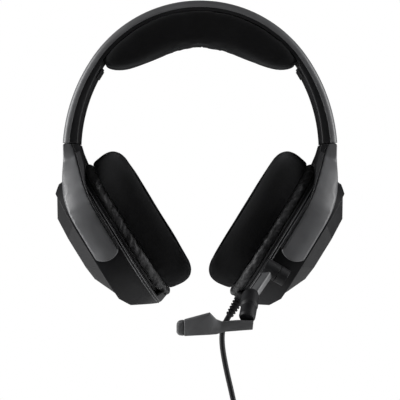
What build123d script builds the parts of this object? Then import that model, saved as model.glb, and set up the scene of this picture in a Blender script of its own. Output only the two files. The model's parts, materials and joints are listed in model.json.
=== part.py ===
from build123d import *
import os
from math import cos, pi, radians, sin, tan

# Over-ear gaming headset with a swinging boom microphone and a corded lead.
# Millimetres, +Z up, -Y the way the wearer faces, +X the wearer's left side.
# The origin is the crown point, the middle of the underside of the headband pad.

# Headband: a crown arc that runs on into a tangent side arc on each side.
CROWN_RADIUS = 88.5
CROWN_CENTRE_Z = -60.1
CROWN_HALF_ANGLE = 55.0
SIDE_RADIUS = 117.1
BAND_END_ANGLE = 86.0
BAND_WIDTH = 36.0
OUTER_SHELL = 4.8
SHELL_ROUND = 3.8
LINER_THIN = 2.3
LINER_THICK = 9.7
LINER_TAPER = 0.9
LINER_THICK_FROM = 56.5
CLIP_INSET = 9.15
SPRING_WIDTH = 20.0
SPRING_THICK = 0.8
SPRING_END_ANGLE = 62.0
WIRE_RADIUS = 0.7
WIRE_Y = 13.5
WIRE_END_ANGLE = 66.0

# Headband pad: its lowest points lie near its two ends.
PAD_DEPTH = 40.0
PAD_END = (66.0, -14.9)
PAD_LOW = (56.0, -17.1)
PAD_RISE = (38.0, -11.6)
PAD_SHOULDER = (20.0, -3.4)

# Slider: a straight steel strip on a chord of the side arc.
SLIDE_TOP_ANGLE = 68.0
SLIDE_INSET = 6.3
STRIP_THICK = 1.2
STRIP_WIDTH = 16.0
SLIDE_CLEARANCE = 0.2
SEAM_GAP = 0.5

# Ear cup frame: x outward, y as the headset's, z up along the cup.
CUP_X = 66.05
CUP_Z = -137.25
CUP_TILT = 31.7
PIVOT = (-1.3, -1.0)
PIVOT_RADIUS = 3.0
PIVOT_CLEARANCE = 0.05

# Ear cup plan sizes (y by z), corner radii and the planes between the layers.
SHELL_PLAN = (80.0, 105.9, 38.0, -1.5)
RIM_PLAN = (88.0, 107.4, 42.0, -0.7)
RING_PLAN = (84.0, 102.0, 40.0, 0.6)
SKIRT_PLAN = (82.0, 103.6, 40.0, -0.8)
CUSHION_PLAN = (84.0, 102.5, 41.0, 0.3)
EAR_HOLE_PLAN = (46.0, 60.0, 22.0, 0.0)
RING_HOLE_PLAN = (50.0, 64.0, 24.0, 0.0)
SCRIM_PLAN = (56.0, 70.0, 27.0, 0.0)
CUSHION_FACE = -44.0
CUSHION_BACK = -22.0
SKIRT_BACK = -15.4
RING_FACE = -14.9
RING_BACK = -13.4
RIM_FACE = -13.2
RIM_BACK = -11.0
SHELL_OUT = 9.0
CAP_BACK = 9.3
CAP_OUT = 17.8
WALL = 2.4

CHIN_WIDTH = 44.0

# Yoke leg: thickness limits in y and the room left round the cup.
LEG_OUT_Y = 46.2
LEG_END_RADIUS = 11.0
CUP_GAP = 0.8
TILT_GAP = 0.5
TILT_RANGE = 15
RIM_GAP = 1.0

# Driver, centred in the cup.
DRIVER_RADIUS = 21.0
MAGNET_RADIUS = 10.0
CONE_RADIUS = 18.5
DOME_RADIUS = 17.0

# Controls on the rear edge of the left cup.
WHEEL_AXIS = (33.8, -22.5)
WHEEL_RADIUS = 8.0
WHEEL_HALF = 2.0
BUTTON_RADIUS = 3.0
BUTTON_ANGLE = 45.0

# Microphone boom, in the cup frame as far as the hub, then in the world frame.
HUB_AXIS = (-51.2, -23.6)
HUB_RADIUS = 5.8
HUB_SPAN = (-12.9, -3.3)
SOCKET_SPAN = (-2.9, 3.5)
BOOM_PIN_RADIUS = 1.8
ARM_END = (34.1, -68.0, -169.5)
FLEX_START = (32.0, -67.0, -168.5)
FLEX_MID = (30.6, -78.0, -176.0)
FLEX_END = (29.2, -86.0, -182.5)
FLEX_RADIUS = 5.7
MIC_Y = -87.0
MIC_HALF_DEPTH = 6.5
NECK_HALF_DEPTH = 3.2

# Cable: lead, coil, tail and plug, all below the left cup.
CABLE_DIAMETER = 3.8
CABLE_EXIT = (-13.4, -10.0, -54.0)
RELIEF_LENGTH = 12.0
COIL_CENTRE = (4.0, -4.7, -287.0)
COIL_MID_RADIUS = 21.5
COIL_SECTION = (11.8, 18.6)
PLUG_TOP = (28.9, 2.6, -325.0)
PLUG_RADIUS = 4.6
JACK_RADIUS = 1.75


def side_centre(side):
    """Centre of one side arc, in (x, z)."""
    reach = CROWN_RADIUS - SIDE_RADIUS
    angle = radians(CROWN_HALF_ANGLE)
    return side * reach * sin(angle), CROWN_CENTRE_Z + reach * cos(angle)


def band_point(angle, inset):
    """Point of the band's line at an angle from the top, inset from its outer face, as (x, z)."""
    turn = radians(angle)
    if abs(angle) <= CROWN_HALF_ANGLE:
        radius = CROWN_RADIUS - inset
        return radius * sin(turn), CROWN_CENTRE_Z + radius * cos(turn)
    x, z = side_centre(1 if angle > 0 else -1)
    radius = SIDE_RADIUS - inset
    return x + radius * sin(turn), z + radius * cos(turn)


def band_arcs(inset, start, end):
    """Arcs that follow the band from one angle to another."""
    breaks = [a for a in (-CROWN_HALF_ANGLE, CROWN_HALF_ANGLE) if start < a < end]
    stops = [start] + breaks + [end]
    arcs = []
    for first, last in zip(stops, stops[1:]):
        points = [band_point(a, inset) for a in (first, (first + last) / 2, last)]
        arcs.append(ThreePointArc(*points))
    return arcs


def upright(face, width, y=0.0):
    """Solid from a face drawn in (x, z), with its width centred on y."""
    placed = Pos(0, y, 0) * (Plane.XZ * face)
    return extrude(placed, amount=width / 2, both=True)


def band_strip(near, far, start, end, width, y=0.0):
    """Curved strip between two insets from the band's outer face."""
    edges = band_arcs(near, start, end) + band_arcs(far, start, end)
    for angle in (start, end):
        edges.append(Line(band_point(angle, near), band_point(angle, far)))
    return upright(make_face(edges), width, y)


def tapered_cheek(start, stop):
    """Side part of the liner, which grows thicker towards the band's end."""
    side = 1 if start > 0 else -1
    angles = sorted((abs(start), abs(stop)))
    angles.insert(1, sum(angles) / 2)
    insets = (LINER_THICK - LINER_TAPER, LINER_THICK, LINER_THICK + LINER_TAPER)
    inner = [band_point(side * a, inset) for a, inset in zip(angles, insets)]
    outer = [band_point(side * a, OUTER_SHELL + LINER_THIN - 0.5) for a in angles]
    edges = [ThreePointArc(*inner), ThreePointArc(*outer), Line(inner[0], outer[0]), Line(inner[2], outer[2])]
    return upright(make_face(edges), BAND_WIDTH - 1.0)


def long_edges(solid, y, inset):
    """Edges of a band strip at one y and one inset."""
    found = []
    for edge in solid.edges():
        middle = edge @ 0.5
        on_side = abs(abs(middle.Y) - y) < 0.01
        if on_side and abs(band_inset(middle) - inset) < 0.05:
            found.append(edge)
    return found


def band_inset(point):
    """How far a point lies inside the band's outer face."""
    side = 1 if point.X > 0 else -1
    x, z = side_centre(side)
    crown = Vector(point.X, 0, point.Z - CROWN_CENTRE_Z)
    if abs(point.X) <= (point.Z - CROWN_CENTRE_Z) * tan(radians(CROWN_HALF_ANGLE)) + 0.01:
        return CROWN_RADIUS - crown.length
    return SIDE_RADIUS - Vector(point.X - x, 0, point.Z - z).length


def plan(sizes, grow=0.0):
    """Rounded rectangle of a cup layer, drawn in (y, z) and grown outward."""
    width, height, radius, centre = sizes
    outline = RectangleRounded(width + 2 * grow, height + 2 * grow, radius + grow)
    return Plane.YZ * Pos(0, centre) * outline


def layer(sizes, start, end, grow=0.0):
    """Cup layer from one outward position to another."""
    return extrude(Pos(start, 0, 0) * plan(sizes, grow), amount=end - start)


def side_prism(points, width=200.0):
    """Prism from an outline in the cup's (x, z), running along y."""
    return upright(make_face(Polyline(*points, close=True)), width)


def rod_along_x(centre, radius, start, end):
    """Cylinder along the cup's outward axis, centred at (y, z)."""
    disc = Plane.YZ * Pos(*centre) * Circle(radius)
    return extrude(Pos(start, 0, 0) * disc, amount=end - start)


def rod(start, end, radius, end_radius=None):
    """Round bar or cone between two points."""
    axis = Vector(*end) - Vector(*start)
    plane = Plane(origin=start, z_dir=axis)
    if end_radius is None:
        return extrude(plane * Circle(radius), amount=axis.length)
    return loft([plane * Circle(radius), plane.offset(axis.length) * Circle(end_radius)])


def bar(start, end, width, thick, corner):
    """Rounded rectangular bar between two points, its width along the cup's outward axis."""
    axis = Vector(*end) - Vector(*start)
    plane = Plane(origin=start, x_dir=axis.cross(Vector(0, 0, 1)).cross(axis), z_dir=axis)
    return extrude(plane * RectangleRounded(width, thick, corner), amount=axis.length)


def on_cup(shape):
    """Place a shape from the cup frame on the wearer's left side."""
    return Location((CUP_X, 0, CUP_Z), (0, CUP_TILT, 0)) * shape


def cup_point(x, y, z):
    """World position of a point of the left cup's frame."""
    turn = radians(CUP_TILT)
    return (CUP_X + x * cos(turn) + z * sin(turn), y, CUP_Z - x * sin(turn) + z * cos(turn))


def to_side(shape, side):
    """The left side's shape, or its twin on the right side."""
    return shape if side == "left" else Rot(0, 0, 180) * shape


# ---------------------------------------------------------------- headband

def slide_line():
    """Slider chord from the band's end upwards: start point and unit direction, in (x, z)."""
    low = Vector(*band_point(BAND_END_ANGLE, SLIDE_INSET))
    high = Vector(*band_point(SLIDE_TOP_ANGLE, SLIDE_INSET))
    return low, (high - low).normalized()


def slide_box(below, above, width, thick):
    """Straight box along the slider chord of the left side."""
    low, up = slide_line()
    start = low - up * below
    plane = Plane(origin=(start.X, 0, start.Y), x_dir=(0, 1, 0), z_dir=(up.X, 0, up.Y))
    return extrude(plane * Rectangle(width, thick), amount=below + above)


def slide_slots():
    """The two slots that the slider strips run in."""
    gap = 2 * SLIDE_CLEARANCE
    slot = slide_box(2.0, 37.0, STRIP_WIDTH + gap, STRIP_THICK + gap)
    return slot + to_side(slot, "right")


def band_screw_axes():
    """Screw lines through the liner near both ends of the band: (angle, y)."""
    return [(side * 74.0, y) for side in (-1, 1) for y in (-12.5, 12.5)]


def radial_rod(angle, y, radius, near, far):
    """Round bar across the band's thickness, between two insets."""
    x1, z1 = band_point(angle, near)
    x2, z2 = band_point(angle, far)
    return rod((x1, y, z1), (x2, y, z2), radius)


def make_band_outer_shell():
    shell = band_strip(0, OUTER_SHELL, -BAND_END_ANGLE, BAND_END_ANGLE, BAND_WIDTH)
    shell = fillet(long_edges(shell, BAND_WIDTH / 2, 0), SHELL_ROUND)
    for angle, y in band_screw_axes():
        shell -= radial_rod(angle, y, 0.8, OUTER_SHELL - 2.5, OUTER_SHELL + 1)
    return shell


def make_band_inner_shell():
    thin = OUTER_SHELL + LINER_THIN
    end = BAND_END_ANGLE
    liner = band_strip(OUTER_SHELL, thin, -end, end, BAND_WIDTH - 1.0)
    for start, stop in ((-end, -LINER_THICK_FROM), (LINER_THICK_FROM, end)):
        cheek = tapered_cheek(start, stop)
        liner += fillet(long_edges(cheek, BAND_WIDTH / 2 - 0.5, LINER_THICK), 1.5)
    liner -= band_strip(OUTER_SHELL - 1, OUTER_SHELL + SPRING_THICK, -SPRING_END_ANGLE,
                        SPRING_END_ANGLE, SPRING_WIDTH)
    liner -= band_strip(OUTER_SHELL - 1, OUTER_SHELL + 2 * WIRE_RADIUS, -WIRE_END_ANGLE,
                        WIRE_END_ANGLE, 2 * WIRE_RADIUS, WIRE_Y)
    liner -= slide_slots()
    for angle, y in band_screw_axes():
        liner -= radial_rod(angle, y, 1.1, OUTER_SHELL - 1, LINER_THICK + 1)
        liner -= radial_rod(angle, y, 2.3, LINER_THICK - 1.6, LINER_THICK + 1)
    return liner


def make_band_spring():
    return band_strip(OUTER_SHELL, OUTER_SHELL + SPRING_THICK, -SPRING_END_ANGLE,
                      SPRING_END_ANGLE, SPRING_WIDTH)


def make_band_wire():
    arcs = band_arcs(OUTER_SHELL + WIRE_RADIUS, -WIRE_END_ANGLE, WIRE_END_ANGLE)
    path = Wire(arcs)
    placed = Pos(0, WIRE_Y, 0) * (Plane.XZ * path)
    start = Plane(origin=placed @ 0, z_dir=placed % 0)
    return sweep(start * Circle(WIRE_RADIUS), path=placed)


def make_headband_pad():
    """Closed cushion between the liner and its wavy underside."""
    top = OUTER_SHELL + LINER_THIN
    left = [(-x, z) for x, z in (PAD_END, PAD_LOW, PAD_RISE, PAD_SHOULDER)]
    right = [PAD_SHOULDER, PAD_RISE, PAD_LOW, PAD_END]
    under = Spline(left + [(0.0, 0.0)] + right)
    reach = 54.5
    edges = band_arcs(top, -reach, reach) + [under]
    edges.append(Line(band_point(-reach, top), left[0]))
    edges.append(Line(band_point(reach, top), right[-1]))
    pad = upright(make_face(edges), PAD_DEPTH)
    rims = [e for e in pad.edges() if abs(abs((e @ 0.5).Y) - PAD_DEPTH / 2) < 0.01]
    bottom = [e for e in rims if (e @ 0.5).Z < 5 and e.length > 60]
    return fillet(bottom, 7.0)


def make_pad_clips():
    """End clips that hold the pad's cover to the liner."""
    clips = None
    for side in (-1, 1):
        start, stop = sorted((side * 57.3, side * 60.7))
        clip = band_strip(CLIP_INSET, CLIP_INSET + 0.8, start, stop, 26.0)
        clips = clip if clips is None else Compound([clips, clip])
    return clips


def make_band_screws():
    screws = []
    for angle, y in band_screw_axes():
        shank = radial_rod(angle, y, 0.8, OUTER_SHELL - 2.2, LINER_THICK - 1.0)
        head = radial_rod(angle, y, 2.1, LINER_THICK - 1.6, LINER_THICK - 0.3)
        slot = radial_rod(angle, y, 0.7, LINER_THICK - 0.9, LINER_THICK + 0.5)
        screws.append(shank + head - slot)
    return Compound(screws)


# ---------------------------------------------------------------- yokes

def yoke_profile():
    """Side outline of a whole yoke in the cup's (x, z), from the seam to the leg's end."""
    outer = Spline((-13.3, 73.6), (-5.8, 60.8), (1.7, 48.0), (6.2, 35.0), (7.6, 20.0), (7.8, 4.0))
    inner = Spline((-22.0, 68.5), (-20.9, 63.8), (-19.7, 59.6), (-18.0, 52.1), (-14.3, 44.0),
                   (-11.3, 34.0), (-10.2, 18.0), (-10.4, 4.0))
    foot_out = Line((7.8, 4.0), (7.8, -14.0))
    foot_in = Line((-10.4, 4.0), (-10.4, -14.0))
    foot = Line((7.8, -14.0), (-10.4, -14.0))
    seam = Line((-13.3, 73.6), (-22.0, 68.5))
    return make_face([outer, inner, foot_out, foot_in, foot, seam])


def yoke_split(shift):
    """Region inward of the line between the yoke's cover and its liner."""
    line = Spline((-18.6, 72.0), (-15.6, 58.0), (-12.6, 46.0), (-9.9, 32.0), (-8.9, 16.0), (-8.8, 2.0))
    down = Line((-8.8, 2.0), (-8.8, -30.0))
    across = Polyline((-8.8, -30.0), (-60.0, -30.0), (-60.0, 90.0), (-20.5, 90.0), (-18.6, 72.0))
    return Pos(shift, 0, 0) * upright(make_face([line, down, across]), 200.0)


def fork_prism():
    """The fork's front-to-rear outline, seen along the cup's outward axis."""
    half = BAND_WIDTH / 2
    right = [(half, 85.0), (half, 62.0), (26.0, 54.0), (38.0, 40.0), (44.0, 29.0),
             (LEG_OUT_Y, 19.0), (LEG_OUT_Y, -30.0)]
    left = [(-y, z) for y, z in reversed(right)]
    outline = make_face(Polyline(*(right + left), close=True))
    return extrude(Plane.YZ * outline, amount=60, both=True)


def open_below(sizes, gap, start, end):
    """Room for a cup layer, open at the bottom."""
    width, _, _, _ = sizes
    room = layer(sizes, start, end, gap)
    slab = Box(end - start, width + 2 * gap, 60.0)
    return room + Pos((start + end) / 2, 0, -30.0) * slab


def leg_end_round():
    """Everything above the pivot, and a round end about it."""
    x, z = PIVOT
    above = Pos(0, 0, z + 100.0) * Box(200, 200, 200)
    disc = upright(Pos(x, z) * Circle(LEG_END_RADIUS), 200)
    return above + disc


def pivot_rods(radius, start, end):
    """Round bars on both sides of the cup along the pivot axis."""
    x, z = PIVOT
    rods = []
    for side in (-1, 1):
        rods.append(rod((x, side * start, z), (x, side * end, z), radius))
    return rods


def tilted_shell(angle):
    """The cup shell's outside, a little grown, tilted about the pivot."""
    x, z = PIVOT
    body = layer(SHELL_PLAN, RIM_BACK, SHELL_OUT, TILT_GAP) & side_prism(shell_side(TILT_GAP))
    return Pos(x, 0, z) * Rot(0, -angle, 0) * Pos(-x, 0, -z) * body


def make_yoke_blank():
    blank = upright(yoke_profile(), 200.0) & fork_prism()
    blank -= open_below(SHELL_PLAN, CUP_GAP, RIM_BACK + 0.2, 40.0)
    blank -= open_below(RIM_PLAN, RIM_GAP, -60.0, RIM_BACK + 0.21)
    for angle in range(3, TILT_RANGE + 1, 3):
        blank -= tilted_shell(angle)
    blank = blank & leg_end_round()
    for hole in pivot_rods(PIVOT_RADIUS, 38.0, 44.6):
        blank -= hole
    return on_cup(blank)


def strip_pocket():
    """Pocket in the yoke's top for the fixed end of the slider strip."""
    return slide_box(13.0, 2.0, STRIP_WIDTH, STRIP_THICK)


def below_seam():
    """Everything under the plane where the band ends, less the seam gap."""
    x, z = band_point(BAND_END_ANGLE, 0)
    tilt = 90.0 - BAND_END_ANGLE
    block = Pos(0, 0, -100.0 - SEAM_GAP) * Box(200, 200, 200)
    return Location((x, 0, z), (0, -tilt, 0)) * block


def make_yoke_outer(blank):
    cover = blank - on_cup(yoke_split(0.0))
    return (cover & below_seam()) - strip_pocket()


def make_yoke_inner(blank):
    liner = blank & on_cup(yoke_split(-0.3))
    return (liner & below_seam()) - strip_pocket()


def make_slider_strip():
    strip = slide_box(13.0, 33.0, STRIP_WIDTH, STRIP_THICK)
    low, up = slide_line()
    for step in range(5):
        middle = low + up * (6.0 + 5.0 * step)
        notch = Pos(middle.X, STRIP_WIDTH / 2, middle.Y) * Cylinder(1.0, 12, rotation=(0, 90, 0))
        strip -= notch
    return strip


def make_pivot_pins():
    return Compound(pivot_rods(PIVOT_RADIUS, 35.4, 44.6))


# ---------------------------------------------------------------- ear cups

def shell_side(grow=0.0):
    """Side outline of the cup shell, with its chin, shrunk by -grow."""
    g = grow
    return [(RIM_BACK, 52.2 + g), (4.5, 50.4 + g), (SHELL_OUT + g, 45.5 + g), (SHELL_OUT + g, -37.0 - g),
            (4.9, -45.0 - g), (RIM_BACK, -54.6 - g)]


def chin_band():
    """Band round the lower edge of the ear pad, as wide as the chin."""
    lip = layer(RIM_PLAN, -17.8, RIM_BACK + 0.01) - layer(SKIRT_PLAN, -30.0, 0.0, 0.5)
    return lip & (Pos(-14.0, 0, -55.0) * Box(10.0, CHIN_WIDTH, 30.0))


def chin_lip():
    """Lip under the ear pad's lower edge that the cable comes out of."""
    lip = chin_band()
    slope = side_prism([(-9.0, -48.0), (-9.0, -54.4), (-13.0, -54.4), (-17.8, -52.6), (-17.8, -48.0)], CHIN_WIDTH)
    return lip & slope


def make_cup_shell(has_controls):
    body = layer(SHELL_PLAN, RIM_BACK, SHELL_OUT) & side_prism(shell_side())
    body -= layer(SHELL_PLAN, RIM_BACK - 1, SHELL_OUT - WALL, -WALL) & side_prism(
        [(RIM_BACK - 1, 49.0), (4.5, 46.5), (SHELL_OUT - WALL, 42.0), (SHELL_OUT - WALL, -33.5),
         (3.0, -41.4), (RIM_BACK - 1, -50.4)])
    body -= layer((24.0, 30.0, 5.0, 4.0), 0, 20)
    for boss in pivot_rods(6.0, 33.5, 39.0):
        body += boss
    for hole in pivot_rods(PIVOT_RADIUS + PIVOT_CLEARANCE, 30.0, 42.0):
        body -= hole
    for y, z in screw_places():
        body += rod_along_x((y, z), 2.6, RIM_BACK, SHELL_OUT - WALL + 0.1)
        body -= rod_along_x((y, z), 0.9, RIM_BACK - 1, 4.0)
    body += chin_lip()
    if has_controls:
        body = body - wheel_slot() - button_hole() - relief_hole()
    return body


def screw_places():
    """Screw centres in (y, z), one near each corner of the cup."""
    return [(y, z) for y in (-26.0, 26.0) for z in (-30.0, 31.0)]


def wheel_slot():
    y, z = WHEEL_AXIS
    return rod_along_x((y, z), WHEEL_RADIUS + 0.5, -WHEEL_HALF - 0.5, WHEEL_HALF + 0.5)


def button_line(near, far, radius):
    """Round bar on the mute button's axis, from near to far outside the shell's wall."""
    turn = radians(BUTTON_ANGLE)
    width, height, corner, centre = SHELL_PLAN
    y0 = width / 2 - corner
    z0 = centre - (height / 2 - corner)
    start = (0, y0 + (corner + near) * cos(turn), z0 - (corner + near) * sin(turn))
    end = (0, y0 + (corner + far) * cos(turn), z0 - (corner + far) * sin(turn))
    return rod(start, end, radius)


def button_hole():
    return button_line(-8.0, 3.0, BUTTON_RADIUS + 0.1)


def make_cup_cap():
    """Faceted outer cover with a shallow inset panel."""
    outline = [(14.0, 44.3), (33.0, 21.0), (33.0, -12.0), (14.0, -36.0)]
    inset = [(8.0, 31.0), (21.0, 15.0), (21.0, -7.5), (8.0, -17.5)]
    cap = cap_loft(outline, inset, CAP_BACK, CAP_OUT)
    cap -= cap_loft(shrink(outline, 2.2), shrink(inset, 1.2), CAP_BACK - 0.01, CAP_OUT - 2.0)
    panel = [(y * 0.82, z * 0.82 + 0.8) for y, z in inset]
    cap -= extrude(Pos(CAP_OUT - 0.6, 0, 0) * hexagon(panel), amount=2)
    return cap


def shrink(points, amount):
    """Half outline drawn in towards the middle."""
    return [(y - amount, z - amount if z > 0 else z + amount) for y, z in points]


def hexagon(points):
    """Face in (y, z) from the points of its right half."""
    left = [(-y, z) for y, z in reversed(points)]
    return Plane.YZ * make_face(Polyline(*(points + left), close=True))


def cap_loft(base, top, start, end):
    return loft([Pos(start, 0, 0) * hexagon(base), Pos(end, 0, 0) * hexagon(top)], ruled=True)


def leg_notch():
    """Round room for the end of a yoke leg, 20 wide."""
    x, z = PIVOT
    return upright(Pos(x, z) * Circle(LEG_END_RADIUS + 0.8), 20.0)


def make_baffle():
    """Rim plate that closes the shell, with the driver's opening and a locating lip."""
    plate = layer(RIM_PLAN, RIM_FACE, RIM_BACK - 0.02)
    lip = layer(SHELL_PLAN, RIM_BACK - 0.5, RIM_BACK + 2.5, -WALL - 0.4)
    lip -= layer(SHELL_PLAN, RIM_BACK - 2, RIM_BACK + 3, -WALL - 2.0)
    for y, z in screw_places():
        lip -= rod_along_x((y, z), 3.2, RIM_BACK - 2, RIM_BACK + 3)
    for boss in pivot_rods(6.6, 20.0, 45.0):
        lip -= boss
    plate += lip & side_prism([(-20, 47.5), (0, 47.5), (0, -47.0), (-20, -47.0)])
    plate -= rod_along_x((0, 0), DRIVER_RADIUS + 0.02, -20, 0)
    plate -= chin_band()
    for side in (-1, 1):
        plate -= Pos(0, side * 50.0, 0) * leg_notch()
    for y, z in screw_places():
        plate -= rod_along_x((y, z), 1.1, -20, 0)
    return plate


def make_driver_basket():
    """Driver frame: a flanged cup."""
    basket = rod_along_x((0, 0), DRIVER_RADIUS, RIM_FACE, -7.0)
    basket += rod_along_x((0, 0), 14.0, -7.0, -3.0)
    basket -= rod_along_x((0, 0), DRIVER_RADIUS - 1.2, RIM_FACE - 1, -8.0)
    basket -= rod_along_x((0, 0), MAGNET_RADIUS, -9.0, 0)
    return basket


def make_driver_magnet():
    return rod_along_x((0, 0), MAGNET_RADIUS, -8.0, 1.0)


def make_driver_cone():
    """Thin diaphragm with a shallow dome."""
    rim = rod_along_x((0, 0), CONE_RADIUS, -12.2, -11.9) - rod_along_x((0, 0), 8.4, -13, -11)
    centre = Pos(DOME_RADIUS - 14.4, 0, 0)
    dome = centre * Sphere(DOME_RADIUS) - centre * Sphere(DOME_RADIUS - 0.3)
    return rim + (dome & rod_along_x((0, 0), 8.6, -20.0, -11.9))


def make_driver_scrim():
    """Cloth that covers the driver inside the ear pad."""
    return layer(SCRIM_PLAN, RING_FACE - 0.45, RING_FACE)


def make_pad_ring():
    ring = layer(RING_PLAN, RING_FACE, RING_BACK) - layer(RING_HOLE_PLAN, -30, 0)
    return ring


def make_pad_skirt():
    skirt = layer(SKIRT_PLAN, CUSHION_BACK, SKIRT_BACK)
    skirt -= layer((64.0, 80.0, 31.0, 0.0), -40, 0)
    return skirt


def make_ear_pad():
    pad = layer(CUSHION_PLAN, CUSHION_FACE, CUSHION_BACK)
    pad = fillet(pad.faces().sort_by(Axis.X)[0].edges(), 10.0)
    pad -= layer(EAR_HOLE_PLAN, -60, 0)
    inner = [e for e in pad.faces().sort_by(Axis.X)[0].inner_wires()[0].edges()]
    return fillet(inner, 6.0)


def make_cup_screws():
    screws = []
    for y, z in screw_places():
        screws.append(rod_along_x((y, z), 0.9, RIM_FACE + 0.1, 2.0))
    return Compound(screws)


# ---------------------------------------------------------------- left cup's controls

def make_control_board():
    board = layer((40.0, 44.0, 3.0, -2.0), 3.4, 4.6)
    board -= rod_along_x((0, 0), 8.0, 0, 10)
    return board


def make_volume_pot():
    y, z = WHEEL_AXIS
    body = Pos(4.2, y - 2.8, z) * Box(2.6, 9.0, 8.6)
    return body + rod_along_x((y, z), 1.5, -2.0, 3.5)


def make_volume_wheel():
    y, z = WHEEL_AXIS
    wheel = rod_along_x((y, z), WHEEL_RADIUS, -WHEEL_HALF, WHEEL_HALF)
    wheel -= rod_along_x((y, z), 1.55, -5, 5)
    for step in range(24):
        turn = 2 * pi * step / 24
        place = (y + (WHEEL_RADIUS + 0.25) * cos(turn), z + (WHEEL_RADIUS + 0.25) * sin(turn))
        wheel -= rod_along_x(place, 0.6, -5, 5)
    return wheel


def make_mute_button():
    stem = button_line(-7.0, 1.6, BUTTON_RADIUS)
    return stem


def make_mic_socket():
    """Lug on the cup's front wall that carries the boom's hinge."""
    y, z = HUB_AXIS
    lug = rod_along_x((y, z), HUB_RADIUS, *SOCKET_SPAN)
    start, end = SOCKET_SPAN
    root = Pos((start + end) / 2, y + 6.0, z) * Box(end - start, 12.0, 2 * HUB_RADIUS)
    lug += root
    lug -= layer(SHELL_PLAN, -30, 30)
    return lug - rod_along_x((y, z), BOOM_PIN_RADIUS + 0.05, -20, 20)


def relief_hole():
    """Hole in the chin that the sleeve is moulded into."""
    x, y, z = CABLE_EXIT
    return rod((x, y, z + 0.7), (x, y, z - RELIEF_LENGTH), 3.6, 2.5)


def make_strain_relief():
    """Tapered sleeve round the cable where it leaves the chin."""
    x, y, z = CABLE_EXIT
    sleeve = relief_hole()
    for step in range(4):
        level = z - 2.6 - 2.4 * step
        ring = rod((x, y, level), (x, y, level - 0.9), 6.0)
        ring -= rod((x, y, level + 1), (x, y, level - 2), 2.9 - 0.2 * step)
        sleeve -= ring
    return on_cup(sleeve)


# ---------------------------------------------------------------- microphone boom

def make_boom_hub():
    """Hinge barrel with its fixed pin."""
    y, z = HUB_AXIS
    hub = rod_along_x((y, z), HUB_RADIUS, *HUB_SPAN)
    hub += rod_along_x((y, z), BOOM_PIN_RADIUS, HUB_SPAN[1] - 1, SOCKET_SPAN[1])
    return on_cup(hub)


def arm_start():
    y, z = HUB_AXIS
    return cup_point((HUB_SPAN[0] + HUB_SPAN[1]) / 2, y, z)


def make_boom_arm(hub, flex):
    """Rigid flat arm from the hub to the rubber section."""
    return bar(arm_start(), ARM_END, 4.6, 6.0, 1.2) - hub - flex


def flex_path():
    return Spline(FLEX_START, FLEX_MID, FLEX_END)


def make_boom_flex():
    """Rubber section that bends towards the mouth."""
    path = flex_path()
    start = Plane(origin=path @ 0, z_dir=path % 0)
    return sweep(start * Circle(FLEX_RADIUS), path=path)


def mic_outline():
    """Front outline of the microphone head with its neck, in (x, z)."""
    return [(34.0, -184.0), (24.9, -183.8), (13.8, -184.6), (10.4, -183.4), (6.2, -179.2), (-10.0, -183.6),
            (-10.0, -193.4), (-8.0, -193.3), (10.4, -192.4), (16.4, -190.9), (33.4, -189.6)]


def mic_plan():
    """Outline of the head and its neck from above, in (x, y)."""
    deep = MIC_HALF_DEPTH
    rear = [(-10.0, deep), (6.5, deep), (13.5, NECK_HALF_DEPTH), (40.0, NECK_HALF_DEPTH)]
    front = [(x, -y) for x, y in reversed(rear)]
    return make_face(Polyline(*(rear + front), close=True))


def mic_half(front):
    """Front or rear half of the microphone's housing."""
    solid = upright(make_face(Polyline(*mic_outline(), close=True)), 2 * MIC_HALF_DEPTH, MIC_Y)
    solid = solid & extrude(Pos(0, MIC_Y, -200.0) * mic_plan(), amount=40.0)
    y = MIC_Y - 20.0 - 0.1 if front else MIC_Y + 20.0 + 0.1
    return solid & Pos(0, y, -180) * Box(200, 40, 60)


def mic_room():
    """Space inside the head for the capsule."""
    return Pos(-3.0, MIC_Y, -188.0) * Box(9.0, 8.0, 6.4)


def make_mic_front(flex):
    return mic_half(True) - mic_room() - flex


def make_mic_back(flex):
    half = mic_half(False) - mic_room()
    for step in range(4):
        half -= Pos(-6.0 + 2.2 * step, MIC_Y + 6.0, -188.0) * Box(0.9, 6.0, 4.6)
    return half - flex


def make_mic_capsule():
    return Pos(-3.0, MIC_Y, -188.0) * Cylinder(2.9, 7.4, rotation=(90, 0, 0))


def make_mic_end_cap():
    """Rounded cap on the tip of the microphone."""
    outline = [(-10.2, -183.7), (-13.4, -184.2), (-14.9, -185.8), (-14.9, -191.4), (-13.4, -193.0), (-10.2, -193.4)]
    cap = upright(make_face(Polyline(*outline, close=True)), 2 * MIC_HALF_DEPTH - 0.4, MIC_Y)
    tip = cap.edges().filter_by(lambda e: (e @ 0.5).X < -11.0 and abs((e % 0.5).Y) < 0.5)
    return chamfer(tip, 1.0)


# ---------------------------------------------------------------- cable

def lead_route():
    """Route of the lead from the strain relief down into the coil."""
    x, y, z = CABLE_EXIT
    start = cup_point(x, y, z - RELIEF_LENGTH)
    first = cup_point(x, y, z - RELIEF_LENGTH - 6.3)
    return [start, first, (14.9, -10.2, -198.3), (15.2, -10.6, -208.6), (18.2, -11.3, -224.5),
            (22.2, -11.8, -241.3), (25.2, -12.1, -256.2), (25.5, -12.0, -266.0)]


def tail_route():
    """Route of the tail from the coil down to the plug."""
    x, y, z = PLUG_TOP
    return [(29.4, 2.6, -291.0), (29.8, 2.7, -302.6), (x, y, z + 10.5), PLUG_TOP]


def corner_radii(route):
    """Arc radius at each inner point: 0.45 of the shorter run over the tangent of half the turn."""
    points = [Vector(*p) for p in route]
    radii = []
    for before, here, after in zip(points, points[1:], points[2:]):
        turn = (here - before).get_angle(after - here)
        shorter = min((here - before).length, (after - here).length)
        radii.append(0.45 * shorter / tan(radians(turn) / 2))
    return radii


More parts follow.
